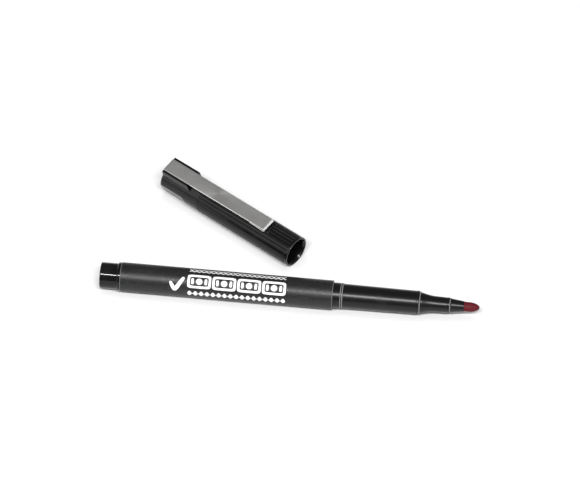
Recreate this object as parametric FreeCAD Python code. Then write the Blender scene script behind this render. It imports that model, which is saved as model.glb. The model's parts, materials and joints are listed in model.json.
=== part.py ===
import FreeCAD, Part
import os
from math import asin, cos, pi, radians, sin

# Counterfeit detector pen, lying uncapped, with its cap off beside it.
# Millimetres. The pen is drawn along +X from its rear end at x = 0, on the axis y = z = 0.
# The cap is drawn the same way from its closed end, with its clip up, and is then laid down.

Vector = FreeCAD.Vector
X_AXIS = Vector(1, 0, 0)
Z_AXIS = Vector(0, 0, 1)
CENTRE = Vector(0, 0, 0)

# ---- driving dimensions: pen ----
pen_length = 133.0
plug_length = 6.0             # the part of the end plug that shows
plug_radius = 4.6
plug_edge = 0.25
plug_spigot = 8.0             # reach of the plug inside the barrel
plug_wall = 1.0
plug_floor = 1.8
barrel_end = 81.8             # front face of the barrel, where the cap's mouth stops
barrel_radius = 5.025
barrel_bore = 4.3
rim_length = 1.2              # rounded rear rim that the film leaves bare
rim_drop = 0.42
rim_shoulder = 0.3            # share of the drop and of the length at the rim's shoulder
film = 0.1                    # thickness of the printed film
rib_count = 6                 # ribs in the barrel that centre the reservoir
rib_width = 0.8
rib_start = 17.0
rib_end = 70.0
reservoir_radius = 3.2
reservoir_start = 15.0
reservoir_end = 103.0
wrap_wall = 0.1
air_gap = 0.1

# ---- driving dimensions: front section ----
spigot_start = 72.0
collar_radius = 4.5
collar_end = 85.2
grip_rear_radius = 4.315
grip_front_radius = 4.075
grip_end = 111.0
seal_radius = 4.165           # bead that the cap's liner closes on
seal_length = 1.4
seal_round = 0.2
cone_rear_radius = 3.7
cone_middle = (115.9, 2.98)   # a point on the hollow curve of the cone
cone_end = 119.1
cone_end_radius = 2.75
neck_end = 121.9
neck_radius = 2.66
ring_radius = 2.72
ring_length = 1.0
nose_start = 123.4
nose_rear_radius = 2.39
nose_end = 127.6
nose_front_radius = 1.86
chamber_radius = 2.7
chamber_start = 104.0         # step between the reservoir's sleeve and the nib's chamber
chamber_end = 110.0

# ---- driving dimensions: nib ----
nib_radius = 1.7
nib_start = 97.0
nib_chamfer = 0.6
nib_shoulder = 129.3          # where the bullet nose begins

# ---- driving dimensions: cap ----
cap_length = 58.0
cap_radius = 5.64
crown_round = 0.8
cap_bore = 4.62               # bore between the mouth and the liner
liner_radius = 4.44           # pocket that the sealing liner is pressed into
end_wall = 1.8
mouth_wall = 0.55
lead_in = 0.8
mouth_round = 0.15
groove_count = 28
groove_start = 17.0
groove_end = 57.1
groove_depth = 0.25
groove_width = 0.66
liner_wall = 0.26
liner_start = 30.0            # mouth of the sealing liner, measured from the closed end
liner_floor = 1.0
liner_lead = 0.2
rail_start = 0.5
rail_end = 13.0
rail_slope = 1.0
rail_heel = 4.14              # height at which a rail's sloped end meets its upright one
rail_top = 7.2
rail_outer = 3.68
rail_root = 4.64              # depth that the saddle's cutting shapes reach, inside the cap's wall
rail_inner = 2.8
saddle_top = 6.8              # seat between the rails that the clip's root lies over
saddle_end = 6.5
saddle_chamfer = 0.7
flat_direction = 104.0        # degrees from the clip to the middle of each thumb flat
flat_depth = 0.5
flat_end = 9.2
flat_run_out = 4.0

# ---- driving dimensions: clip ----
clip_width = 5.5
clip_thickness = 0.45
clip_top = 7.3
clip_reach = 46.6             # free end, measured from the cap's closed end
crown_bend = 0.7              # bend radii along the middle of the strip
hook_bend = 0.35
hook_height = 2.725
hook_end = 1.5
hook_width = 3.6
fold_radius = 0.56
fold_length = 5.9
leaf_gap = 0.06
slot_clearance = 0.1
recess_depth = 0.55

# ---- driving dimensions: how the pieces lie ----
cap_mouth_place = (66.7, 18.0)   # middle of the cap's mouth beside the pen
cap_heading = -32.5              # degrees from +X to the way the mouth points
cap_roll = 9.0                   # degrees the clip leans towards -Y


def outline(start, *steps):
    """Closed face in the XZ plane: each step is a point, or a middle and an end point of an arc."""
    edges = []
    here = Vector(start[0], 0, start[1])
    first = here
    for step in steps:
        if isinstance(step[0], tuple):
            middle = Vector(step[0][0], 0, step[0][1])
            there = Vector(step[1][0], 0, step[1][1])
            edges.append(Part.Arc(here, middle, there).toShape())
        elif isinstance(step[0], Part.Edge):
            there = Vector(step[1][0], 0, step[1][1])
            edges.append(step[0])
        else:
            there = Vector(step[0], 0, step[1])
            edges.append(Part.LineSegment(here, there).toShape())
        here = there
    edges.append(Part.LineSegment(here, first).toShape())
    return Part.Face(Part.Wire(edges))


def turned(*points):
    """Solid of revolution about the X axis."""
    return outline(*points).revolve(CENTRE, X_AXIS, 360)


def quarter(middle_x, middle_r, radius, from_angle):
    """Middle and end of a quarter round that starts at from_angle and turns clockwise."""
    half = radians(from_angle - 45)
    end = radians(from_angle - 90)
    middle = (middle_x + radius * cos(half), middle_r + radius * sin(half))
    return middle, (middle_x + radius * cos(end), middle_r + radius * sin(end))


def tube(start, end, inner, outer):
    return turned((start, inner), (start, outer), (end, outer), (end, inner))


def block(x0, x1, half_width, z0, z1):
    return Part.makeBox(x1 - x0, 2 * half_width, z1 - z0, Vector(x0, -half_width, z0))


# ---- pen ----
def make_end_plug():
    spigot_end = plug_length + plug_spigot
    core = barrel_bore - plug_wall
    return turned(
        (0, 0),
        (0, plug_radius - plug_edge),
        quarter(plug_edge, plug_radius - plug_edge, plug_edge, 180),
        (plug_length, plug_radius),
        (plug_length, barrel_bore),
        (spigot_end - plug_edge, barrel_bore),
        (spigot_end, barrel_bore - plug_edge),
        (spigot_end, core),
        (plug_floor, core),
        (plug_floor, 0),
    )


def make_barrel():
    rim_radius = barrel_radius - rim_drop
    shell = turned(
        (plug_length, barrel_bore),
        (plug_length, rim_radius),
        ((plug_length + rim_shoulder * rim_length, barrel_radius - rim_shoulder * rim_drop),
         (plug_length + rim_length, barrel_radius)),
        (barrel_end, barrel_radius),
        (barrel_end, barrel_bore),
    )
    inner = reservoir_radius + wrap_wall + air_gap
    rib = Part.makeBox(rib_end - rib_start, rib_width, barrel_bore + plug_edge - inner,
                       Vector(rib_start, -rib_width / 2, inner))
    for i in range(rib_count):
        turn = rib.copy()
        turn.rotate(CENTRE, X_AXIS, 360.0 * i / rib_count)
        shell = shell.fuse(turn)
    return shell.removeSplitter()


def make_barrel_label():
    return tube(plug_length + rim_length, barrel_end, barrel_radius, barrel_radius + film)


def make_reservoir_core():
    return turned(
        (reservoir_start, 0),
        (reservoir_start, reservoir_radius),
        (reservoir_end, reservoir_radius),
        (reservoir_end, nib_radius),
        (nib_start, nib_radius),
        (nib_start, 0),
    )


def make_reservoir_wrap():
    return tube(reservoir_start, reservoir_end, reservoir_radius, reservoir_radius + wrap_wall)


def make_front_section():
    sleeve = reservoir_radius + wrap_wall + air_gap
    seal_end = grip_end + seal_length
    return turned(
        (spigot_start, sleeve),
        (spigot_start, barrel_bore - plug_edge),
        (spigot_start + plug_edge, barrel_bore),
        (barrel_end, barrel_bore),
        (barrel_end, collar_radius),
        (collar_end - plug_edge, collar_radius),
        quarter(collar_end - plug_edge, collar_radius - plug_edge, plug_edge, 90),
        (collar_end, grip_rear_radius),
        (grip_end, grip_front_radius),
        (grip_end, seal_radius - seal_round),
        quarter(grip_end + seal_round, seal_radius - seal_round, seal_round, 180),
        (seal_end - seal_round, seal_radius),
        quarter(seal_end - seal_round, seal_radius - seal_round, seal_round, 90),
        (seal_end, cone_rear_radius),
        (cone_middle, (cone_end, cone_end_radius)),
        (neck_end, neck_radius),
        (neck_end, ring_radius),
        (neck_end + ring_length, ring_radius),
        (nose_start, nose_rear_radius),
        (nose_end, nose_front_radius),
        (nose_end, nib_radius),
        (chamber_end, nib_radius),
        (chamber_end, chamber_radius),
        (chamber_start, chamber_radius),
        (chamber_start, sleeve),
    )


def make_nib():
    # The bullet is longer than it is wide, so the ellipse's first, major point is at the tip.
    whole = Part.Ellipse(Vector(pen_length, 0, 0), Vector(nib_shoulder, 0, nib_radius),
                         Vector(nib_shoulder, 0, 0))
    bullet = Part.Arc(whole, 0, pi / 2).toShape()
    return turned(
        (nib_start, 0),
        (nib_start, nib_radius - nib_chamfer),
        (nib_start + nib_chamfer, nib_radius),
        (nib_shoulder, nib_radius),
        (bullet, (pen_length, 0)),
    )


# ---- cap, with its closed end at x = 0 and its clip up ----
def make_grooves():
    """Shallow round-bottomed grooves cut along the cap, leaving a grip rib between each two."""
    radius = (groove_depth ** 2 + (groove_width / 2) ** 2) / (2 * groove_depth)
    cutter = Part.makeCylinder(radius, groove_end - groove_start,
                               Vector(groove_start, 0, cap_radius - groove_depth + radius), X_AXIS)
    grooves = []
    for i in range(groove_count):
        turn = cutter.copy()
        turn.rotate(CENTRE, X_AXIS, 360.0 * i / groove_count)
        grooves.append(turn)
    return grooves


def make_thumb_flat(side):
    """Cutter for a flat on the crown that runs out in a curve towards the ribs."""
    reach = cap_radius
    level = cap_radius - flat_depth
    arc_half = radians(45)
    rise = flat_run_out * (1 - cos(arc_half))
    run = flat_run_out * sin(arc_half)
    middle = (flat_end + flat_run_out * sin(arc_half / 2),
              level + flat_run_out * (1 - cos(arc_half / 2)))
    side_view = outline((-1, level), (flat_end, level), (middle, (flat_end + run, level + rise)),
                        (flat_end + run, level + rise + 1), (-1, level + rise + 1))
    cutter = side_view.extrude(Vector(0, 2 * reach, 0))
    cutter.translate(Vector(0, -reach, 0))
    cutter.rotate(CENTRE, X_AXIS, side * flat_direction)
    return cutter


def make_rails():
    """Two rails with a saddle between them, standing on the crown."""
    side_view = outline((rail_start, 0), (rail_start, rail_top), (rail_end - rail_slope, rail_top),
                        (rail_end, rail_heel), (rail_end, 0))
    solid = side_view.extrude(Vector(0, 2 * rail_outer, 0))
    solid.translate(Vector(0, -rail_outer, 0))
    channel = block(-1, rail_end + 1, rail_inner, rail_root, rail_top + 1)
    saddle_view = outline((rail_start, 0), (rail_start, saddle_top - saddle_chamfer),
                          (rail_start + saddle_chamfer, saddle_top), (saddle_end, saddle_top),
                          (saddle_end + 1, rail_root), (saddle_end + 1, 0))
    saddle = saddle_view.extrude(Vector(0, 2 * rail_inner, 0))
    saddle.translate(Vector(0, -rail_inner, 0))
    return solid.cut(channel).fuse(saddle)


def make_cap_shell():
    body = turned(
        (0, 0),
        (0, cap_radius - crown_round),
        quarter(crown_round, cap_radius - crown_round, crown_round, 180),
        (cap_length - mouth_round, cap_radius),
        quarter(cap_length - mouth_round, cap_radius - mouth_round, mouth_round, 90),
        (cap_length, 0),
    )
    body = body.cut(make_grooves())
    body = body.cut([make_thumb_flat(side) for side in (-1, 1)])
    body = body.fuse(make_rails())
    hollow = turned(
        (end_wall, 0),
        (end_wall, liner_radius),
        (liner_start, liner_radius),
        (liner_start, cap_bore),
        (cap_length - lead_in, cap_bore),
        (cap_length, cap_radius - mouth_wall),
        (cap_length + 1, cap_radius - mouth_wall),
        (cap_length + 1, 0),
    )
    slot_half = hook_width / 2 + slot_clearance
    slot_drop = clip_thickness / 2 + slot_clearance
    slot = block(-1, end_wall + 1, slot_half, hook_height - slot_drop, hook_height + slot_drop)
    recess_foot = hook_height - clip_thickness - slot_clearance
    recess = block(-1, recess_depth, rail_inner, recess_foot, rail_top + 1)
    return body.cut([hollow, slot, recess]).removeSplitter()


def make_inner_cap():
    return turned(
        (end_wall, 0),
        (end_wall, liner_radius),
        (liner_start, liner_radius),
        (liner_start, liner_radius - liner_wall + liner_lead),
        (liner_start - liner_lead, liner_radius - liner_wall),
        (end_wall + liner_floor, liner_radius - liner_wall),
        (end_wall + liner_floor, 0),
    )


def make_pocket_clip():
    """Flat strip: hooked into the end wall, bent over the crown, folded under at its free end."""
    half = clip_thickness / 2
    top = clip_top - half
    fold_x = clip_reach - half - fold_radius
    fold_z = top - fold_radius
    leaf_end_z = top - 2 * half - leaf_gap
    lean = asin((leaf_end_z - (fold_z - fold_radius)) / fold_length)
    leaf_x = fold_x - fold_radius * sin(lean)
    leaf_z = fold_z - fold_radius * cos(lean)

    def line(x0, z0, x1, z1):
        return Part.LineSegment(Vector(x0, 0, z0), Vector(x1, 0, z1)).toShape()

    def arc(centre_x, centre_z, radius, start, end):
        points = []
        for turn in (start, (start + end) / 2, end):
            points.append(Vector(centre_x + radius * cos(turn), 0, centre_z + radius * sin(turn)))
        return Part.Arc(*points).toShape()

    middle_line = Part.Wire([
        line(hook_end, hook_height, half + hook_bend, hook_height),
        arc(half + hook_bend, hook_height + hook_bend, hook_bend, -pi / 2, -pi),
        line(half, hook_height + hook_bend, half, top - crown_bend),
        arc(half + crown_bend, top - crown_bend, crown_bend, pi, pi / 2),
        line(half + crown_bend, top, fold_x, top),
        arc(fold_x, fold_z, fold_radius, pi / 2, -pi / 2 - lean),
        line(leaf_x, leaf_z, leaf_x - fold_length * cos(lean), leaf_z + fold_length * sin(lean)),
    ])
    band = middle_line.makeOffset2D(half, 0, False, False)
    strip = Part.Face(band).extrude(Vector(0, clip_width, 0))
    strip.translate(Vector(0, -clip_width / 2, 0))
    side_cuts = []
    for side in (-1, 1):
        trim = Part.makeBox(hook_end, clip_width, clip_thickness * 2,
                            Vector(clip_thickness, -clip_width / 2, hook_height - clip_thickness))
        trim.translate(Vector(0, side * (hook_width + clip_width) / 2, 0))
        side_cuts.append(trim)
    return strip.cut(side_cuts)


# ---- laying the pieces down ----
def lay_cap(shape):
    """Roll, turn and place a cap piece so that its ribs rest on z = 0 beside the pen."""
    heading = radians(cap_heading)
    shape.rotate(CENTRE, X_AXIS, cap_roll)
    shape.rotate(CENTRE, Z_AXIS, cap_heading)
    shape.translate(Vector(cap_mouth_place[0] - cap_length * cos(heading),
                           cap_mouth_place[1] - cap_length * sin(heading), cap_radius))
    return shape


def lay_pen(shape):
    shape.translate(Vector(0, 0, barrel_radius + film))
    return shape


def make_parts():
    """Every piece in the row frame: origin under the middle of the whole layout, on the surface."""
    pen = {
        "barrel": make_barrel(),
        "barrel_label": make_barrel_label(),
        "end_plug": make_end_plug(),
        "front_section": make_front_section(),
        "nib": make_nib(),
        "reservoir_core": make_reservoir_core(),
        "reservoir_wrap": make_reservoir_wrap(),
    }
    cap = {
        "cap_shell": make_cap_shell(),
        "inner_cap": make_inner_cap(),
        "pocket_clip": make_pocket_clip(),
    }
    parts = {name: lay_pen(shape) for name, shape in pen.items()}
    parts.update({name: lay_cap(shape) for name, shape in cap.items()})
    box = Part.makeCompound(list(parts.values())).optimalBoundingBox(False)
    shift = Vector(-(box.XMin + box.XMax) / 2, -(box.YMin + box.YMax) / 2, 0)
    for shape in parts.values():
        shape.translate(shift)
    return parts, shift


if __name__ == "__main__":
    os.makedirs("parts", exist_ok=True)
    parts, shift = make_parts()
    for name, shape in parts.items():
        shape.exportStep("parts/" + name + ".step")
        box = shape.optimalBoundingBox(False)
        print(f"{name}: {len(shape.Solids)} solid, valid {shape.isValid()}, {shape.Volume:.1f} mm3, "
              f"z {box.ZMin:.3f} to {box.ZMax:.3f}")
    print(f"shift {shift.x:.4f} {shift.y:.4f}")
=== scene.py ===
import json
from math import atan2, cos, pi, radians, sin, tan

import bmesh
import bpy
import numpy as np
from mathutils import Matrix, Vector


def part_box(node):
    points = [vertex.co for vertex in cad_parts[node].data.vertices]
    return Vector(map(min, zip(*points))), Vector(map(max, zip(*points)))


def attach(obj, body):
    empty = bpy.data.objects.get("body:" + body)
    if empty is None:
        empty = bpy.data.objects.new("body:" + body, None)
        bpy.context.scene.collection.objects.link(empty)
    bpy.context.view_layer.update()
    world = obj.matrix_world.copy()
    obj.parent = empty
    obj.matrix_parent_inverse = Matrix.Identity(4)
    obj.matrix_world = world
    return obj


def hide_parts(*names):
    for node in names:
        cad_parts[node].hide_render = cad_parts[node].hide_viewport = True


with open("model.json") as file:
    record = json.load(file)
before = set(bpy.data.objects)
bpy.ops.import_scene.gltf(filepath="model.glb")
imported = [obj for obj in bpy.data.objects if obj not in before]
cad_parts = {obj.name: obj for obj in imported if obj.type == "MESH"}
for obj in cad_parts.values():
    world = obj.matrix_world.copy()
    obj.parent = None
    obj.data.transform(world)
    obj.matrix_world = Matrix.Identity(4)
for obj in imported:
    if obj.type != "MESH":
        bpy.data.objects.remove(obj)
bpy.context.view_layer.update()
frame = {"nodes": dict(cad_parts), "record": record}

# Looks of a counterfeit detector pen lying uncapped beside its cap. Lengths are in millimetres until
# they are placed, and then in metres. Stations along the pen are measured from its rear end, and
# stations along the cap from its closed end.
MM = 0.001

# ---- pen ----
PEN_LENGTH = 133.0
PLUG_LENGTH = 6.0
PLUG_RADIUS = 4.6
PLUG_REACH = 14.0                # the plug's spigot ends here, inside the barrel
PLUG_WALL = 1.0
PLUG_FLOOR = 1.8
BARREL_END = 81.8
BARREL_RADIUS = 5.025
BARREL_BORE = 4.3
RIM_END = 7.2                    # the bare rear rim ends here and the film starts
FILM_RADIUS = 5.125
SECTION_START = 72.0
SECTION_BORE = 3.4
COLLAR_RADIUS = 4.5
COLLAR_NICK = 84.5               # middle of the fine groove round the collar
COLLAR_END = 85.2
GRIP_REAR_RADIUS = 4.315
GRIP_FRONT_RADIUS = 4.075
GRIP_END = 111.0
BEAD_RADIUS = 4.165
BEAD_END = 112.4
CONE_START = 113.0
CONE_START_RADIUS = 3.6
CONE_END = 119.1
CONE_END_RADIUS = 2.75
CONE_HOLLOW = 0.26               # how far the cone's side sags from a straight line
NECK_RADIUS = 2.66
RING_START = 121.9
RING_RADIUS = 2.72
NOSE_START = 123.2
NOSE_START_RADIUS = 2.42
NOSE_END = 127.6
NOSE_END_RADIUS = 1.86
CHAMBER_START = 104.0
CHAMBER_END = 110.0
CHAMBER_RADIUS = 2.7
NIB_START = 97.0
NIB_RADIUS = 1.7
NIB_CHAMFER = 0.6
NIB_SHOULDER = 129.3

# ---- print on the film ----
INK_RADIUS = FILM_RADIUS + 0.012
INK_THICKNESS = 0.018
PRINT_START = 31.4
PRINT_END = 65.2
TICK_CORNER = (26.6, -2.7)
NOTE_COUNT = 4
NOTE_MIDDLE = (35.1, 0.65)       # the first blank banknote
NOTE_PITCH = 8.75
NOTE_HALF = (4.15, 2.45)
WAVE_LEVEL = 5.15
WAVE_HEIGHT = 0.68
WAVE_PITCH = 3.38
LOZENGE_COUNT = 17
LOZENGE_MIDDLE = (31.9, -4.0)    # the first lozenge
LOZENGE_PITCH = 2.05

# ---- cap ----
CAP_LENGTH = 58.0
CAP_RADIUS = 5.64
MOUTH_MOUNT_STATION = 43.6       # where the cap_mouth mount's point lies along the cap
END_WALL = 1.8
LINER_END = 30.0
LINER_RADIUS = 4.44              # the bore where the liner sits
BORE_RADIUS = 4.62
LEAD_IN_START = 57.2
MOUTH_RADIUS = 5.09
CROWN_ROUND = 0.8
RECESS_DEPTH = 0.55              # the clip's upright leg lies in this recess in the closed end
RECESS_FOOT = 2.2
GROOVE_COUNT = 28
GROOVE_DEPTH = 0.25
GROOVE_WIDTH = 0.66
GROOVE_START = 17.0
GROOVE_END = 57.1
GROOVE_RUN_OUT = 0.12
FLAT_LEVEL = 5.14                # distance of a thumb flat from the cap's axis
FLAT_END = 9.2
FLAT_RUN_OUT = 4.0
FLAT_DIRECTION = 104             # degrees from the clip round to the middle of a thumb flat
RIB_FOOT = 4.4                   # rails and saddle start below the cap's surface
RAIL_INNER = 2.8
RAIL_OUTER = 3.68
RAIL_TOP = 7.2
RAIL_END = 12.93
SADDLE_TOP = 6.8
SADDLE_END = 7.6

# ---- clip ----
CLIP_WIDTH = 5.5
CLIP_THICKNESS = 0.45
CLIP_TOP = 7.3
CLIP_REACH = 46.6
HOOK_WIDTH = 3.6
HOOK_END = 1.5
HOOK_HEIGHT = 2.725
HOOK_BEND = 0.35
CROWN_BEND = 0.7
FOLD_RADIUS = 0.56
LEAF_LENGTH = 5.9
LEAF_GAP = 0.06                  # between the strip and the end of its folded leaf

# ---- view ----
VIEW_AZIMUTH = 6.58
VIEW_ELEVATION = 48.5
VIEW_DISTANCE = 1.6
VIEW_LENS = 282.3
VIEW_TARGET = (-0.0021072, -0.0049455, 0.005)
LIGHT_DISTANCE = 1.3
FLOOR_REACH = 6.0
FLOOR_SHADE = 0.76
ROOM_STRENGTH = 0.2


# ---------------------------------------------------------------- where the pen and the cap lie
plug_low, plug_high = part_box("end_plug")
pen_start = Vector((plug_low.x, (plug_low.y + plug_high.y) / 2, (plug_low.z + plug_high.z) / 2))
mounts = {mount["name"]: mount for mount in frame["record"]["mounts"]}
cap_along = np.array(mounts["cap_mouth"]["axis"], float)
cap_up = np.array(mounts["clip_grip"]["axis"], float)
cap_side = np.cross(cap_up, cap_along)
cap_start = np.array(mounts["cap_mouth"]["pos_m"], float) - cap_along * MOUTH_MOUNT_STATION * MM


def on_pen(points):
    """Pen coordinates (along, towards +Y, up) in millimetres to row coordinates in metres."""
    return np.asarray(points, float) * MM + np.array(pen_start)


def on_cap(points):
    """Cap coordinates (along, sideways, towards the clip) in millimetres to row coordinates."""
    along, side, up = np.moveaxis(np.asarray(points, float) * MM, -1, 0)
    return (cap_start + along[..., None] * cap_along + side[..., None] * cap_side
            + up[..., None] * cap_up)


# ---------------------------------------------------------------- surfaces
SHARP_TURN = radians(40)
POLE_SIZE = 1e-9                 # a row smaller than this, in metres, is one point


def surface(name, grid, around=True, closed=False, lids=False):
    """A mesh over a grid of points: every four neighbours make a face.

    around joins the last column to the first, closed joins the last row to the first, and a first or
    last row that has shrunk to one point becomes a pole. lids closes the first and last rows flat.
    """
    rows, columns = grid.shape[:2]
    index = np.arange(rows * columns).reshape(rows, columns)
    if around and not closed:
        for row in (0, -1):
            if np.ptp(grid[row], axis=0).max() < POLE_SIZE:
                index[row] = index[row, 0]
    if closed:
        index = np.vstack([index, index[:1]])
    if around:
        index = np.hstack([index, index[:, :1]])
    quads = np.stack([index[:-1, :-1], index[1:, :-1], index[1:, 1:], index[:-1, 1:]], -1).reshape(-1, 4)
    used, quads = np.unique(quads, return_inverse=True)
    quads = quads.reshape(-1, 4)
    first_pole = quads[:, 0] == quads[:, 3]
    last_pole = quads[:, 1] == quads[:, 2]
    faces = quads[~first_pole & ~last_pole].tolist()
    faces += quads[first_pole][:, [0, 1, 2]].tolist()
    faces += quads[last_pole][:, [0, 1, 3]].tolist()
    if lids:
        faces += [list(range(columns)), list(range((rows - 1) * columns, rows * columns))]
    mesh = bpy.data.meshes.new(name)
    mesh.from_pydata(grid.reshape(-1, 3)[used].tolist(), [], faces)
    return finish_mesh(name, mesh)


def finish_mesh(name, mesh):
    """Turns the faces outwards and puts the mesh in an object at the origin.

    Faces are shaded smoothly, except for flat lids and across edges that turn by more than SHARP_TURN.
    """
    work = bmesh.new()
    work.from_mesh(mesh)
    bmesh.ops.recalc_face_normals(work, faces=work.faces)
    work.to_mesh(mesh)
    work.free()
    corners = np.empty(len(mesh.polygons), np.int32)
    mesh.polygons.foreach_get("loop_total", corners)
    mesh.polygons.foreach_set("use_smooth", corners <= 4)
    mesh.set_sharp_from_angle(angle=SHARP_TURN)
    piece = bpy.data.objects.new(name, mesh)
    bpy.context.scene.collection.objects.link(piece)
    return piece


def join(name, pieces):
    """One object made of several pieces' meshes."""
    work = bmesh.new()
    for piece in pieces:
        work.from_mesh(piece.data)
        bpy.data.objects.remove(piece)
    mesh = bpy.data.meshes.new(name)
    work.to_mesh(mesh)
    work.free()
    return finish_mesh(name, mesh)


def rounded(corners, steps=6, hold=0.04):
    """An outline through corners (along, out, round), each turned by an arc that meets both runs.

    The arc's ends lie round / tan(half the corner's angle) from the corner. A point is added a little
    way along each run beside an arc, which keeps the run's shading flat.
    """
    points = []
    for i, (x, r, turn) in enumerate(corners):
        here = np.array((x, r), float)
        if turn == 0:
            points.append(here)
            continue
        back = np.array(corners[i - 1][:2], float) - here
        ahead = np.array(corners[(i + 1) % len(corners)][:2], float) - here
        back_length, ahead_length = np.linalg.norm(back), np.linalg.norm(ahead)
        back, ahead = back / back_length, ahead / ahead_length
        half = np.arccos(np.clip(back @ ahead, -1, 1)) / 2
        reach = min(turn / tan(half), 0.45 * back_length, 0.45 * ahead_length)
        turn = reach * tan(half)
        centre = here + (back + ahead) / np.linalg.norm(back + ahead) * turn / sin(half)
        start, end = here + back * reach - centre, here + ahead * reach - centre
        sweep = pi - 2 * half
        share = np.linspace(0, 1, steps + 1)[:, None]
        arc = centre + (np.sin((1 - share) * sweep) * start + np.sin(share * sweep) * end) / sin(sweep)
        points.append(here + back * (reach + min(hold, 0.2 * (back_length - reach))))
        points.extend(arc)
        points.append(here + ahead * (reach + min(hold, 0.2 * (ahead_length - reach))))
    return np.array(points)


def turned(name, outline, columns=160, closed=False):
    """A shape turned on the pen's axis: the outline (along, out) is carried round by cosine and sine."""
    angle = np.linspace(0, 2 * pi, columns, endpoint=False)
    along = np.repeat(outline[:, :1], columns, axis=1)
    grid = np.stack([along, outline[:, 1:] * np.cos(angle), outline[:, 1:] * np.sin(angle)], -1)
    return surface(name, on_pen(grid), closed=closed)


# ---------------------------------------------------------------- materials
class Signal:
    """A number that varies over a surface. Arithmetic on it adds Math nodes to its finish."""

    def __init__(self, finish, socket):
        self.finish = finish
        self.socket = socket

    def math(self, operation, *values):
        """A Math node on the values, in their order."""
        return self.finish.add("ShaderNodeMath", {"operation": operation}, dict(enumerate(values)))

    def __add__(self, other):
        return self.math("ADD", self, other)

    def __sub__(self, other):
        return self.math("SUBTRACT", self, other)

    def __mul__(self, other):
        return self.math("MULTIPLY", self, other)

    def __rsub__(self, other):
        return self.math("SUBTRACT", other, self)

    def __abs__(self):
        return self.math("ABSOLUTE", self)

    __radd__ = __add__
    __rmul__ = __mul__

    def clamped(self):
        """The number held between 0 and 1."""
        raised = self.math("MAXIMUM", self, 0.0)
        return self.math("MINIMUM", raised, 1.0)


class Finish:
    """One material: a Principled shader with constants on its own sockets, and nodes that vary it."""

    def __init__(self, name, **constants):
        self.material = bpy.data.materials.new(name)
        self.material.use_nodes = True
        self.tree = self.material.node_tree
        self.shader = self.tree.nodes["Principled BSDF"]
        self.place = self.add("ShaderNodeTexCoord", {}, {}, "Object")
        for socket, value in constants.items():
            self.shader.inputs[socket.replace("_", " ")].default_value = value

    def add(self, kind, settings, values, output=0):
        """Adds a node: its settings first, then the values or links of its sockets."""
        node = self.tree.nodes.new(kind)
        for key, value in settings.items():
            setattr(node, key, value)
        for key, value in values.items():
            if isinstance(value, Signal):
                self.tree.links.new(value.socket, node.inputs[key])
            else:
                node.inputs[key].default_value = value
        return Signal(self, node.outputs[output])

    def feed(self, socket, signal):
        """Lets a signal drive one of the shader's sockets."""
        self.tree.links.new(signal.socket, self.shader.inputs[socket])

    def noise(self, scale, detail=2.0, roughness=0.5, place=None):
        """Noise whose blobs are 1 / scale metres across, from 0 to 1."""
        return self.add("ShaderNodeTexNoise", {}, {"Vector": place or self.place, "Scale": scale,
                                                   "Detail": detail, "Roughness": roughness})

    def stretched(self, turn, scale):
        """Object coordinates turned about Z and scaled, for a grain that runs one way."""
        spun = self.add("ShaderNodeMapping", {}, {"Vector": self.place, "Rotation": (0, 0, turn)})
        return self.add("ShaderNodeMapping", {}, {"Vector": spun, "Scale": scale})

    def ring_line(self, stations, half_width=0.09, soft=0.06):
        """One within half_width of any of the stations along the pen, falling to zero over soft."""
        along = self.add("ShaderNodeSeparateXYZ", {}, {"Vector": self.place})
        total = 0
        for station in stations:
            off = abs(along - (pen_start.x + station * MM))
            total = total + (1 - (off - half_width * MM) * (1 / (soft * MM))).clamped()
        return total.clamped()

    def blend(self, share, low, high):
        """Colour from low to high, each a colour or another signal, as share goes from 0 to 1."""
        return self.add("ShaderNodeMix", {"data_type": "RGBA"}, {"Factor": share, 6: low, 7: high}, 2)

    def between(self, share, low, high):
        """Colour from low to high, both fixed colours, as share goes from 0 to 1."""
        return self.blend(share, (*low, 1), (*high, 1))

    def bump(self, height, depth):
        """Small relief: depth is how far, in metres, height from 0 to 1 stands out."""
        self.feed("Normal", self.add("ShaderNodeBump", {}, {"Height": height, "Distance": depth,
                                                            "Strength": 1.0}))


def gloss_black(name, polish, glint_rings=()):
    """Black polystyrene: an orange peel, rubbed places and fine scratches. polish is its roughness.

    glint_rings are stations along the pen where a ring's crest is painted grey, a painted highlight that
    stands for the ring's glint.
    """
    finish = Finish(name, IOR=1.38)
    peel = finish.noise(900, 1.0)
    wear = ((finish.noise(140, 3.0) - 0.52) * 5).clamped()
    scratch = finish.noise(1.0, 2.0, place=finish.stretched(0.3, (900, 9000, 9000)))
    colour = finish.between(wear, (0.0035, 0.0035, 0.0038), (0.007, 0.007, 0.0075))
    roughness = polish + wear * 0.06 + scratch * 0.04
    if glint_rings:
        # Painted highlight: the ring crests are painted light grey as glints, broken up by the scratch
        # noise.
        painted_glint = finish.ring_line(glint_rings) * (0.55 + scratch * 0.6).clamped()
        colour = finish.blend(painted_glint, colour, (0.22, 0.22, 0.22, 1))
        roughness = roughness + painted_glint * 0.2
    finish.feed("Base Color", colour)
    finish.feed("Roughness", roughness)
    finish.bump(peel + scratch * 0.12, 1.5e-6)
    return finish.material


def matte_film():
    """Matte black printed film: an even grain that spreads the light, and a painted highlight along its
    two cut edges.
    """
    finish = Finish("matte_black_film", IOR=1.42)
    grain = ((finish.noise(1900, 3.0, 0.7) - 0.5) * 2.8 + 0.5).clamped()
    cloud = finish.noise(260, 3.0)
    # Painted highlight: a pale grey line at the film's rear and front cut edges stands for the glint on
    # their rounds.
    cut = finish.ring_line((RIM_END, BARREL_END), 0.1, 0.08)
    black = finish.between(cloud * 0.3 + grain * 0.7, (0.001, 0.001, 0.0012), (0.02, 0.02, 0.0205))
    finish.feed("Base Color", finish.blend(cut * 0.8, black, (0.2, 0.2, 0.2, 1)))
    finish.feed("Roughness", 0.28 + grain * 0.2 + cloud * 0.04)
    finish.bump(grain, 22e-6)
    return finish.material


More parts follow.
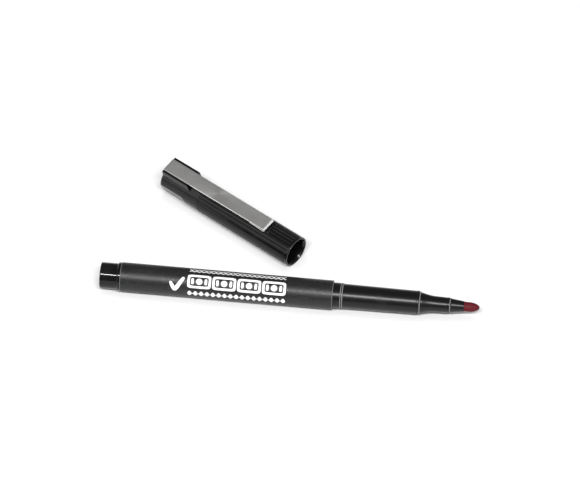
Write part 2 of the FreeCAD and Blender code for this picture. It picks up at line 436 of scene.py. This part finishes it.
def white_ink():
    """Screen-printed white ink: opaque, with pinholes and a slightly uneven lay."""
    finish = Finish("white_print_ink", IOR=1.5)
    lay = finish.noise(2400, 3.0, 0.6)
    thin = ((0.36 - lay) * 9).clamped()
    finish.feed("Base Color", finish.between(thin, (0.86, 0.86, 0.85), (0.5, 0.5, 0.5)))
    finish.feed("Roughness", 0.42 + lay * 0.12)
    finish.bump(lay, 4e-6)
    return finish.material


def nib_fibre():
    """Bonded fibre wetted with maroon fluid: fine strands along the pen and damp patches."""
    finish = Finish("maroon_nib_fibre", IOR=1.3)
    strand = finish.noise(1.0, 4.0, 0.7, finish.stretched(0, (1400, 9000, 9000)))
    pore = finish.noise(6500, 2.0)
    damp = ((finish.noise(700, 2.0) - 0.45) * 4).clamped()
    shade = (strand * 0.65 + pore * 0.35 - 0.28) * 2.2
    maroon = finish.between(shade.clamped(), (0.035, 0.001, 0.003), (0.14, 0.008, 0.014))
    finish.feed("Base Color", maroon)
    finish.feed("Roughness", 0.72 - damp * 0.2)
    finish.bump(strand * 0.7 + pore * 0.3, 28e-6)
    return finish.material


def satin_steel():
    """Rolled spring steel: grain along the strip, faint stains, and rubbed brighter streaks."""
    finish = Finish("satin_strip_steel", Metallic=1.0, Anisotropic=0.35)
    turn = -atan2(cap_along[1], cap_along[0])
    grain = finish.noise(1.0, 4.0, 0.75, finish.stretched(turn, (160, 9000, 9000)))
    cloud = finish.noise(320, 3.0, 0.6)
    fleck = ((finish.noise(2600, 2.0) - 0.6) * 6).clamped()
    pit = ((finish.noise(3200, 2.0, 0.7) - 0.5) * 2 + 0.5).clamped()
    shade = grain * 0.45 + cloud * 0.2 + pit * 0.35
    finish.feed("Base Color", finish.between(shade, (0.64, 0.635, 0.62), (0.97, 0.965, 0.95)))
    finish.feed("Roughness", 0.3 + grain * 0.14 + cloud * 0.06 + fleck * 0.05)
    finish.bump(grain, 3e-6)
    return finish.material


def liner_plastic():
    """Unpolished black liner: even satin with flow marks."""
    finish = Finish("satin_liner_plastic", IOR=1.5)
    flow = finish.noise(500, 3.0)
    finish.feed("Base Color", finish.between(flow, (0.008, 0.008, 0.009), (0.02, 0.02, 0.021)))
    finish.feed("Roughness", 0.3 + flow * 0.2)
    finish.bump(flow, 8e-6)
    return finish.material


def reservoir_fibre():
    """Soft fibre bundle soaked to a warm brown."""
    finish = Finish("soaked_reservoir_fibre", Sheen_Weight=0.4)
    strand = finish.noise(1.0, 5.0, 0.7, finish.stretched(0, (220, 4200, 4200)))
    finish.feed("Base Color", finish.between(strand, (0.22, 0.09, 0.045), (0.6, 0.36, 0.2)))
    finish.feed("Roughness", 0.75 + strand * 0.2)
    finish.bump(strand, 60e-6)
    return finish.material


def wrap_film():
    """Thin milky film with long creases."""
    finish = Finish("milky_wrap_film", IOR=1.45)
    crease = finish.noise(1.0, 2.0, 0.5, finish.stretched(0, (90, 1500, 1500)))
    finish.feed("Base Color", finish.between(crease, (0.55, 0.55, 0.54), (0.8, 0.8, 0.79)))
    finish.feed("Roughness", 0.2 + crease * 0.2)
    finish.bump(crease, 20e-6)
    return finish.material


# ---------------------------------------------------------------- pen pieces
def make_plug():
    """Rear plug: an outline with a small gate dimple in its end face, turned round the pen's axis."""
    core = BARREL_BORE - PLUG_WALL
    outline = rounded([
        (0.12, 0, 0), (0.12, 0.45, 0.1), (0, 0.62, 0.06), (0, PLUG_RADIUS, 0.25),
        (PLUG_LENGTH, PLUG_RADIUS, 0.08), (PLUG_LENGTH, BARREL_BORE, 0),
        (PLUG_REACH, BARREL_BORE, 0.25), (PLUG_REACH, core, 0.1), (PLUG_FLOOR, core, 0.4),
        (PLUG_FLOOR, 0, 0),
    ])
    return turned("rear_plug", outline)


def make_barrel():
    """Barrel tube: its outline is turned round the axis, and its rear rim is a wide soft round."""
    outline = rounded([
        (PLUG_LENGTH, BARREL_BORE, 0), (PLUG_LENGTH, BARREL_RADIUS - 0.3, 0.1),
        (PLUG_LENGTH + 0.28, BARREL_RADIUS, 0.3), (RIM_END, BARREL_RADIUS, 0),
        (BARREL_END, BARREL_RADIUS, 0.03), (BARREL_END, BARREL_BORE, 0),
    ])
    return turned("barrel_tube", outline, closed=True)


def make_film():
    """Printed film: a thin sleeve with a small round on its two cut edges."""
    outline = rounded([
        (RIM_END, BARREL_RADIUS, 0), (RIM_END, FILM_RADIUS, 0.05),
        (BARREL_END, FILM_RADIUS, 0.05), (BARREL_END, BARREL_RADIUS, 0),
    ])
    return turned("film_sleeve", outline, columns=192, closed=True)


def make_section():
    """Front section: spigot, collar, grip, bead, cone, ring and nose in one turned outline."""
    share = np.linspace(0, 1, 9)[1:-1]
    cone_x = CONE_START + (CONE_END - CONE_START) * share
    cone_r = (CONE_START_RADIUS + (CONE_END_RADIUS - CONE_START_RADIUS) * share
              - CONE_HOLLOW * np.sin(pi * share))
    outline = rounded([
        (SECTION_START, SECTION_BORE, 0), (SECTION_START, BARREL_BORE, 0.2),
        (BARREL_END, BARREL_BORE, 0), (BARREL_END, COLLAR_RADIUS, 0.05),
        (COLLAR_NICK - 0.15, COLLAR_RADIUS, 0.1), (COLLAR_NICK, COLLAR_RADIUS - 0.08, 0.06),
        (COLLAR_NICK + 0.15, COLLAR_RADIUS, 0.1), (COLLAR_END, COLLAR_RADIUS, 0.16),
        (COLLAR_END + 0.25, GRIP_REAR_RADIUS, 0.12), (GRIP_END, GRIP_FRONT_RADIUS, 0.06),
        (GRIP_END + 0.05, BEAD_RADIUS, 0.1), (GRIP_END + 0.75, BEAD_RADIUS, 0.3),
        (BEAD_END, CONE_START_RADIUS + 0.12, 0.12), (CONE_START, CONE_START_RADIUS, 0.2),
        *((x, r, 0) for x, r in zip(cone_x, cone_r)),
        (CONE_END, CONE_END_RADIUS, 0.6), (RING_START - 0.2, NECK_RADIUS, 0.06),
        (RING_START, RING_RADIUS, 0.08), (RING_START + 0.6, RING_RADIUS, 0.2),
        (NOSE_START, NOSE_START_RADIUS, 0.12), (NOSE_END, NOSE_END_RADIUS, 0.12),
        (NOSE_END, NIB_RADIUS, 0), (CHAMBER_END, NIB_RADIUS, 0),
        (CHAMBER_END, CHAMBER_RADIUS, 0.2), (CHAMBER_START, CHAMBER_RADIUS, 0.1),
        (CHAMBER_START, SECTION_BORE, 0),
    ])
    return turned("grip_section", outline, columns=192, closed=True)


def make_nib():
    """Bullet nib: a cylinder, then an ellipse's quarter, with a fuzz of low bumps on its surface.

    The radius is multiplied by one plus a small sum of sines of the angle and the station.
    """
    quarter = np.linspace(0, pi / 2, 28)
    tip = PEN_LENGTH - NIB_SHOULDER
    nose = np.stack([NIB_SHOULDER + tip * np.sin(quarter), NIB_RADIUS * np.cos(quarter)], -1)
    nose[-1, 1] = 0
    shaft = np.stack([np.linspace(NOSE_END - 1, NIB_SHOULDER, 16)[:-1], np.full(15, NIB_RADIUS)], -1)
    root = np.array([(NIB_START, 0), (NIB_START, NIB_RADIUS - NIB_CHAMFER),
                     (NIB_START + NIB_CHAMFER, NIB_RADIUS)])
    outline = np.vstack([root, shaft, nose])
    angle = np.linspace(0, 2 * pi, 160, endpoint=False)
    along, out = outline[:, :1], outline[:, 1:]
    fuzz = (np.sin(23 * angle + 1.9 * along) + np.sin(37 * angle - 5.3 * along)
            + np.sin(61 * angle + 11 * along)) / 3
    out = out * (1 + 0.004 * fuzz * (along > NOSE_END))
    grid = np.stack([along + 0 * angle, out * np.cos(angle), out * np.sin(angle)], -1)
    return surface("bullet_nib", on_pen(grid))


# ---------------------------------------------------------------- print on the film
def on_film(flat):
    """Flat print coordinates (station, distance round the film) wrapped on the film.

    The angle is the distance round the film divided by its radius, and the print faces the viewer's
    side of the pen.
    """
    angle = radians(180 - VIEW_ELEVATION) - flat[..., 1] / FILM_RADIUS
    return on_pen(np.stack([flat[..., 0], INK_RADIUS * np.cos(angle), INK_RADIUS * np.sin(angle)], -1))


def evenly(width, height, power, step=0.14):
    """A unit superellipse, |x| to the power plus |y| to the power is one, sampled at even steps.

    The steps are even for the curve stretched to width and height.
    """
    angle = np.linspace(0, 2 * pi, 2001)
    x = np.sign(np.cos(angle)) * np.abs(np.cos(angle)) ** (2 / power)
    y = np.sign(np.sin(angle)) * np.abs(np.sin(angle)) ** (2 / power)
    run = np.concatenate([[0], np.cumsum(np.hypot(np.diff(x * width), np.diff(y * height)))])
    spot = np.linspace(0, run[-1], max(int(run[-1] / step), 12), endpoint=False)
    return np.interp(spot, run, x), np.interp(spot, run, y)


def filled(middle, width, height, power):
    """A filled superellipse of half sizes width and height, in rings about its middle."""
    x, y = evenly(width, height, power)
    ring = np.linspace(0, 1, 5)[:, None]
    return np.stack([middle[0] + ring * width * x, middle[1] + ring * height * y], -1), True


def hollow(middle, width, height, power, stroke):
    """The band between two superellipses, one stroke apart."""
    x, y = evenly(width, height, power)
    inset = np.linspace(0, stroke, 4)[:, None]
    return np.stack([middle[0] + (width - inset) * x, middle[1] + (height - inset) * y], -1), True


def ribbon(line, stroke):
    """A band along a line: the line plus and minus half a stroke along its normal."""
    run = np.gradient(line, axis=0)
    run /= np.linalg.norm(run, axis=1, keepdims=True)
    normal = np.stack([-run[:, 1], run[:, 0]], -1)
    across = np.linspace(-0.5, 0.5, 7)[None, :, None] * np.reshape(stroke, (-1, 1, 1))
    return line[:, None] + across * normal[:, None], False


def tick_mark(corner, left, right, stroke):
    """A tick: a line whose slope turns smoothly from falling to rising, with blunt rounded ends.

    Its height is a mean slope times the distance from the corner, plus the slope's change times the
    root of that distance squared plus the corner's round squared.
    """
    along = np.linspace(-left, right, 90)
    fall, rise, turn = -1.9, 1.62, 0.28
    height = (fall + rise) / 2 * along + (rise - fall) / 2 * (np.sqrt(along ** 2 + turn ** 2) - turn)
    share = np.linspace(-1, 1, 90)
    width = stroke * np.sqrt(1.0001 - share ** 10) * (1 - 0.25 * np.abs(share))
    return ribbon(np.stack([corner[0] + along, corner[1] + height], -1), width)


def print_shapes():
    """The print: a tick, a row of blank banknotes, two waves above them and lozenges below."""
    shapes = [tick_mark(TICK_CORNER, 1.7, 3.1, 1.5)]
    for i in range(NOTE_COUNT):
        x, y = NOTE_MIDDLE[0] + NOTE_PITCH * i, NOTE_MIDDLE[1]
        shapes.append(hollow((x, y), *NOTE_HALF, 7, 0.85))
        shapes.append(filled((x, y), 1.1, 1.1, 2))
        for side in (-1, 1):
            shapes.append(filled((x + side * 2.35, y), 0.45, 1.05, 5))
    station = np.linspace(PRINT_START, PRINT_END, 480)
    for phase in (0, pi):
        wave = WAVE_LEVEL + WAVE_HEIGHT * np.sin(2 * pi * station / WAVE_PITCH + phase)
        shapes.append(ribbon(np.stack([station, wave], -1), 0.3))
    for i in range(LOZENGE_COUNT):
        x, y = LOZENGE_MIDDLE[0] + LOZENGE_PITCH * i, LOZENGE_MIDDLE[1]
        shapes.append(filled((x, y), 0.8, 1.1, 1.35))
        if i < LOZENGE_COUNT - 1:
            shapes.append(filled((x + LOZENGE_PITCH / 2, y), 0.2, 0.2, 2))
    return shapes


def make_print():
    """One thin layer of ink: each flat shape is wrapped on the film and given the ink's thickness."""
    piece = join("film_print", [surface("ink", on_film(flat), around=around)
                                for flat, around in print_shapes()])
    outward_layer(piece)
    return piece


def outward_layer(piece):
    """Faces the layer away from the pen's axis, then gives it the ink's thickness inwards."""
    work = bmesh.new()
    work.from_mesh(piece.data)
    for face in work.faces:
        middle = face.calc_center_median() - pen_start
        if face.normal.dot(Vector((0, middle.y, middle.z))) < 0:
            face.normal_flip()
    work.to_mesh(piece.data)
    work.free()
    solid = piece.modifiers.new("ink_thickness", "SOLIDIFY")
    solid.thickness = INK_THICKNESS * MM
    solid.offset = -1


# ---------------------------------------------------------------- clip
def clip_line():
    """The middle line of the strip from its hook to its folded leaf, with its normals.

    Straight runs are joined by arcs: in at the hook, over the crown, and back under at the free end.
    """
    half = CLIP_THICKNESS / 2
    top = CLIP_TOP - half
    fold_x = CLIP_REACH - half - FOLD_RADIUS
    fold_z = top - FOLD_RADIUS
    lean = np.arcsin((top - CLIP_THICKNESS - LEAF_GAP - (fold_z - FOLD_RADIUS)) / LEAF_LENGTH)

    def arc(x, z, radius, start, end, steps):
        angle = np.linspace(start, end, steps)
        return np.stack([x + radius * np.cos(angle), z + radius * np.sin(angle)], -1)

    hook = arc(half + HOOK_BEND, HOOK_HEIGHT + HOOK_BEND, HOOK_BEND, -pi / 2, -pi, 8)
    crown = arc(half + CROWN_BEND, top - CROWN_BEND, CROWN_BEND, pi, pi / 2, 14)
    back = np.linspace(crown[-1], (fold_x, top), 60)[1:-1]
    under = arc(fold_x, fold_z, FOLD_RADIUS, pi / 2, -pi / 2 - lean, 22)
    leaf = under[-1] + np.linspace(0, LEAF_LENGTH, 12)[1:, None] * np.array((-cos(lean), sin(lean)))
    front = np.linspace(hook[-1], crown[0], 6)[1:-1]
    line = np.vstack([[(HOOK_END, HOOK_HEIGHT)], hook, front, crown, back, under, leaf])
    run = np.gradient(line, axis=0)
    run /= np.linalg.norm(run, axis=1, keepdims=True)
    return line, np.stack([-run[:, 1], run[:, 0]], -1)


def make_clip():
    """Clip strip: a rounded rectangle carried along the middle line, narrower at the hook.

    Each point is the line, plus the section's height along the line's normal, plus its width sideways.
    """
    line, normal = clip_line()
    half = CLIP_THICKNESS / 2
    width = np.where(np.arange(len(line)) < 2, HOOK_WIDTH, CLIP_WIDTH) / 2
    section = rounded([(-1, -half, 0.1), (1, -half, 0.1), (1, half, 0.17), (-1, half, 0.17)], steps=5)
    side = np.sign(section[:, 0])
    inset = 1 - np.abs(section[:, 0])
    across = side * (width[:, None] - inset)
    spot = line[:, None, :] + normal[:, None, :] * section[None, :, 1:]
    grid = np.stack([spot[..., 0], across, spot[..., 1]], -1)
    start_pole = np.broadcast_to(grid[0].mean(axis=0), grid[0].shape)
    end_pole = np.broadcast_to(grid[-1].mean(axis=0), grid[-1].shape)
    grid = np.concatenate([start_pole[None], grid, end_pole[None]])
    return surface("spring_clip", on_cap(grid))


# ---------------------------------------------------------------- cap
def lesser(first, second, ease=0.03):
    """The smaller of two heights, eased where they cross."""
    return (first + second - np.sqrt((first - second) ** 2 + ease ** 2)) / 2


def cap_outside(along, turn, radius):
    """Distance of the cap's outside from its axis, for a turn from the clip's side.

    The radius is lessened by round-bottomed grooves at an even pitch, and is never further out than
    the two thumb flats, whose level rises past their end as a circle does.
    """
    pitch = 2 * pi / GROOVE_COUNT
    across = radius * ((turn + pitch / 2) % pitch - pitch / 2)
    bottom = (GROOVE_DEPTH ** 2 + (GROOVE_WIDTH / 2) ** 2) / (2 * GROOVE_DEPTH)
    cut = np.sqrt(np.maximum(bottom ** 2 - across ** 2, 0)) - (bottom - GROOVE_DEPTH)
    run = (np.clip((along - GROOVE_START) / GROOVE_RUN_OUT, 0, 1)
           * np.clip((GROOVE_END - along) / GROOVE_RUN_OUT, 0, 1))
    out = radius + run * lesser(-cut, 0 * cut)
    past = np.clip(along - FLAT_END, 0, 0.8 * FLAT_RUN_OUT)
    level = FLAT_LEVEL + FLAT_RUN_OUT - np.sqrt(FLAT_RUN_OUT ** 2 - past ** 2)
    for side in (-1, 1):
        facing = np.cos(turn - side * radians(FLAT_DIRECTION))
        out = lesser(out, level / np.maximum(facing, 0.3))
    return out


def make_cap_body():
    """The cap behind its closed end: an outline carried round the axis, its outside as cap_outside says.

    Columns lie closer together inside the grooves than on the ribs.
    """
    share = np.array([-0.5, -0.42, -0.34, -0.3, -0.275, -0.255, -0.235, -0.2, -0.14, -0.07])
    share = np.concatenate([share, [0], -share[:0:-1]])
    turn = (np.arange(GROOVE_COUNT)[:, None] + share).ravel() * 2 * pi / GROOVE_COUNT
    inside = rounded([
        (END_WALL, 0, 0), (END_WALL, LINER_RADIUS, 0.2), (LINER_END, LINER_RADIUS, 0.03),
        (LINER_END, BORE_RADIUS, 0.03), (LEAD_IN_START, BORE_RADIUS, 0.1),
        (CAP_LENGTH, MOUTH_RADIUS, 0.08), (CAP_LENGTH, CAP_RADIUS, 0.2),
        (CAP_LENGTH - 0.5, CAP_RADIUS, 0),
    ])
    run_out = np.array([0, 1 / 3, 2 / 3, 1, 5 / 3]) * GROOVE_RUN_OUT
    station = np.concatenate([
        [GROOVE_END + 0.2], GROOVE_END - run_out, np.linspace(56, 18, 14),
        [GROOVE_START + 0.3], GROOVE_START + run_out[3::-1], [GROOVE_START - 0.1],
        np.linspace(16, 12.6, 5), np.linspace(12.4, FLAT_END, 24), np.linspace(8.8, 1.0, 8)])
    bend = np.linspace(0, np.arcsin(1 - RECESS_DEPTH / CROWN_ROUND), 5)
    crown = np.stack([CROWN_ROUND * (1 - np.sin(bend)),
                      CAP_RADIUS - CROWN_ROUND * (1 - np.cos(bend))], -1)
    outside = np.stack([station, np.full(len(station), CAP_RADIUS)], -1)
    outline = np.vstack([inside, outside, crown, [(RECESS_DEPTH, 0)]])
    along, radius = outline[:, :1], outline[:, 1:]
    out = np.where(radius > MOUTH_RADIUS + 0.06, cap_outside(along, turn, radius), radius + 0 * turn)
    grid = np.stack([along + 0 * turn, out * np.sin(turn), out * np.cos(turn)], -1)
    return surface("body", on_cap(grid))


def make_cap_end():
    """The closed end's face: a rounded disc with a square recess from its middle up to its rim.

    Each row is the rim's arc at one depth, then the recess's two walls and floor.
    """
    bend = np.linspace(np.arcsin(1 - RECESS_DEPTH / CROWN_ROUND), pi / 2, 12)[:, None]
    along = CROWN_ROUND * (1 - np.sin(bend))
    radius = CAP_RADIUS - CROWN_ROUND * (1 - np.cos(bend))
    first = np.arcsin(RAIL_INNER / radius)
    turn = first + np.linspace(0, 1, 260) * (2 * pi - 2 * first)
    out = cap_outside(along, turn, radius)
    rim = np.stack([along + 0 * turn, out * np.sin(turn), out * np.cos(turn)], -1)
    down = np.linspace(0, 1, 8)[1:]
    rows = np.ones_like(along)
    tip = rim[:, -1:, 2]
    left = np.stack([along + 0 * down, -RAIL_INNER + 0 * rows * down,
                     tip + (RECESS_FOOT - tip) * down], -1)
    right = left[:, ::-1] * (1, -1, 1)
    floor = np.linspace(-RAIL_INNER, RAIL_INNER, 16)[1:-1]
    middle = np.stack([along + 0 * floor, rows * floor, RECESS_FOOT + 0 * rows * floor], -1)
    return surface("end", on_cap(np.concatenate([rim, left, middle, right], axis=1)), lids=True)


def prism(outline, low, high, ease):
    """A side view given thickness, with eased edges.

    Near each face the outline shrinks along its normals as a quarter circle does.
    """
    run = np.roll(outline, -1, axis=0) - np.roll(outline, 1, axis=0)
    normal = np.stack([-run[:, 1], run[:, 0]], -1) / np.linalg.norm(run, axis=1, keepdims=True)
    bend = np.linspace(0, pi / 2, 6)
    shrink = ease * (1 - np.sin(bend))
    side = low + ease * (1 - np.cos(bend))
    shrink = np.concatenate([shrink, shrink[::-1]])
    side = np.concatenate([side, low + high - side[::-1]])
    flat = outline - shrink[:, None, None] * normal
    grid = np.stack([flat[..., 0], np.repeat(side[:, None], len(outline), axis=1), flat[..., 1]], -1)
    return surface("prism", on_cap(grid), lids=True)


def make_cap_moulding():
    """The cap's moulding: body, closed end, two rails that guard the clip, and the clip's saddle."""
    rail = rounded([(RECESS_DEPTH, RIB_FOOT, 0.05), (RECESS_DEPTH - 0.05, RAIL_TOP, 0.16),
                    (RAIL_END - 0.93, RAIL_TOP, 0.2), (RAIL_END, RIB_FOOT, 0.05)], steps=5)
    saddle = rounded([(RECESS_DEPTH, RIB_FOOT, 0.05), (RECESS_DEPTH, SADDLE_TOP - 0.7, 0.1),
                      (RECESS_DEPTH + 0.7, SADDLE_TOP, 0.2), (SADDLE_END - 1.1, SADDLE_TOP, 0.3),
                      (SADDLE_END, RIB_FOOT, 0.05)])
    return join("cap_moulding", [
        make_cap_body(), make_cap_end(), prism(rail, RAIL_INNER, RAIL_OUTER, 0.14),
        prism(rail, -RAIL_OUTER, -RAIL_INNER, 0.14), prism(saddle, -RAIL_INNER, RAIL_INNER, 0.02)])


# ---------------------------------------------------------------- stage
def outward(azimuth, elevation):
    """Unit vector at an azimuth turned from -Y towards +X and an elevation, both in degrees."""
    azimuth, elevation = radians(azimuth), radians(elevation)
    return Vector((sin(azimuth) * cos(elevation), -cos(azimuth) * cos(elevation), sin(elevation)))


def make_camera():
    """A long lens on the pen, at the view's azimuth and elevation."""
    back = outward(VIEW_AZIMUTH, VIEW_ELEVATION)
    data = bpy.data.cameras.new("view")
    data.lens = VIEW_LENS
    data.sensor_width = 36
    data.clip_start = 0.01
    camera = bpy.data.objects.new("view", data)
    camera.location = Vector(VIEW_TARGET) + back * VIEW_DISTANCE
    camera.rotation_euler = back.to_track_quat("Z", "Y").to_euler()
    bpy.context.scene.collection.objects.link(camera)
    bpy.context.scene.camera = camera


def softbox(name, azimuth, elevation, width, height, radiance, mirrored=True):
    """A rectangular light of even radiance, facing the middle of the layout.

    A light that isn't mirrored lights the floor and the pen but makes no highlight.
    """
    back = outward(azimuth, elevation)
    data = bpy.data.lights.new(name, "AREA")
    data.shape = "RECTANGLE"
    data.size = width
    data.size_y = height
    data.energy = radiance * pi * width * height
    lamp = bpy.data.objects.new(name, data)
    lamp.location = back * LIGHT_DISTANCE
    lamp.rotation_euler = back.to_track_quat("Z", "Y").to_euler()
    lamp.visible_glossy = mirrored
    bpy.context.scene.collection.objects.link(lamp)


def make_stage():
    """A wide pale floor, an even pale room, and soft lights."""
    ends = (-FLOOR_REACH, FLOOR_REACH)
    floor = surface("floor", np.array([[(x, y, 0) for x in ends] for y in ends]), around=False)
    paint = Finish("pale_floor", Roughness=0.9, Specular_IOR_Level=0.1)
    paint.shader.inputs["Base Color"].default_value = (FLOOR_SHADE, FLOOR_SHADE, FLOOR_SHADE, 1)
    floor.data.materials.append(paint.material)
    world = bpy.data.worlds.new("room")
    world.use_nodes = True
    background = world.node_tree.nodes["Background"]
    background.inputs["Color"].default_value = (1, 1, 1, 1)
    background.inputs["Strength"].default_value = ROOM_STRENGTH
    bpy.context.scene.world = world
    softbox("key_strip", VIEW_AZIMUTH, 56.5, width=1.0, height=0.06, radiance=105)
    softbox("top_box", 180, 80, width=1.0, height=0.8, radiance=1.9, mirrored=False)
    softbox("left_panel", -68, 28, width=1.2, height=1.0, radiance=1.4)
    softbox("right_box", 62, 12, width=0.8, height=0.5, radiance=3)
    bpy.context.scene.view_settings.view_transform = "Standard"


# ---------------------------------------------------------------- putting it together
def wear_finish(piece, material):
    """Gives a piece one material all over."""
    piece.data.materials.clear()
    piece.data.materials.append(material)


def add_piece(piece, body, slot, material, *nodes):
    """Gives a piece its finish and its body, and hides the CAD nodes it stands for. slot is not used."""
    wear_finish(piece, material)
    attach(piece, body)
    if nodes:
        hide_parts(*nodes)


make_camera()
make_stage()
polished = gloss_black("gloss_black_plug", 0.08)
moulded = gloss_black("gloss_black_cap", 0.14)
# The grip's ring crests at these stations get painted highlights.
satin = gloss_black("satin_black_grip", 0.27, (COLLAR_NICK - 0.05, COLLAR_END - 0.1, BEAD_END - 0.25,
                                               RING_START + 0.8))
add_piece(make_plug(), "pen", "gloss_black", polished, "end_plug")
add_piece(make_barrel(), "pen", "gloss_black", polished, "barrel")
add_piece(make_film(), "pen", "matte_film", matte_film(), "barrel_label")
add_piece(make_print(), "pen", "matte_film", white_ink())
add_piece(make_section(), "pen", "gloss_black", satin, "front_section")
add_piece(make_nib(), "pen", "nib_fibre", nib_fibre(), "nib")
add_piece(make_cap_moulding(), "cap", "gloss_black", moulded, "cap_shell")
add_piece(make_clip(), "clip", "clip_steel", satin_steel(), "pocket_clip")
wear_finish(frame["nodes"]["inner_cap"], liner_plastic())
wear_finish(frame["nodes"]["reservoir_core"], reservoir_fibre())
wear_finish(frame["nodes"]["reservoir_wrap"], wrap_film())
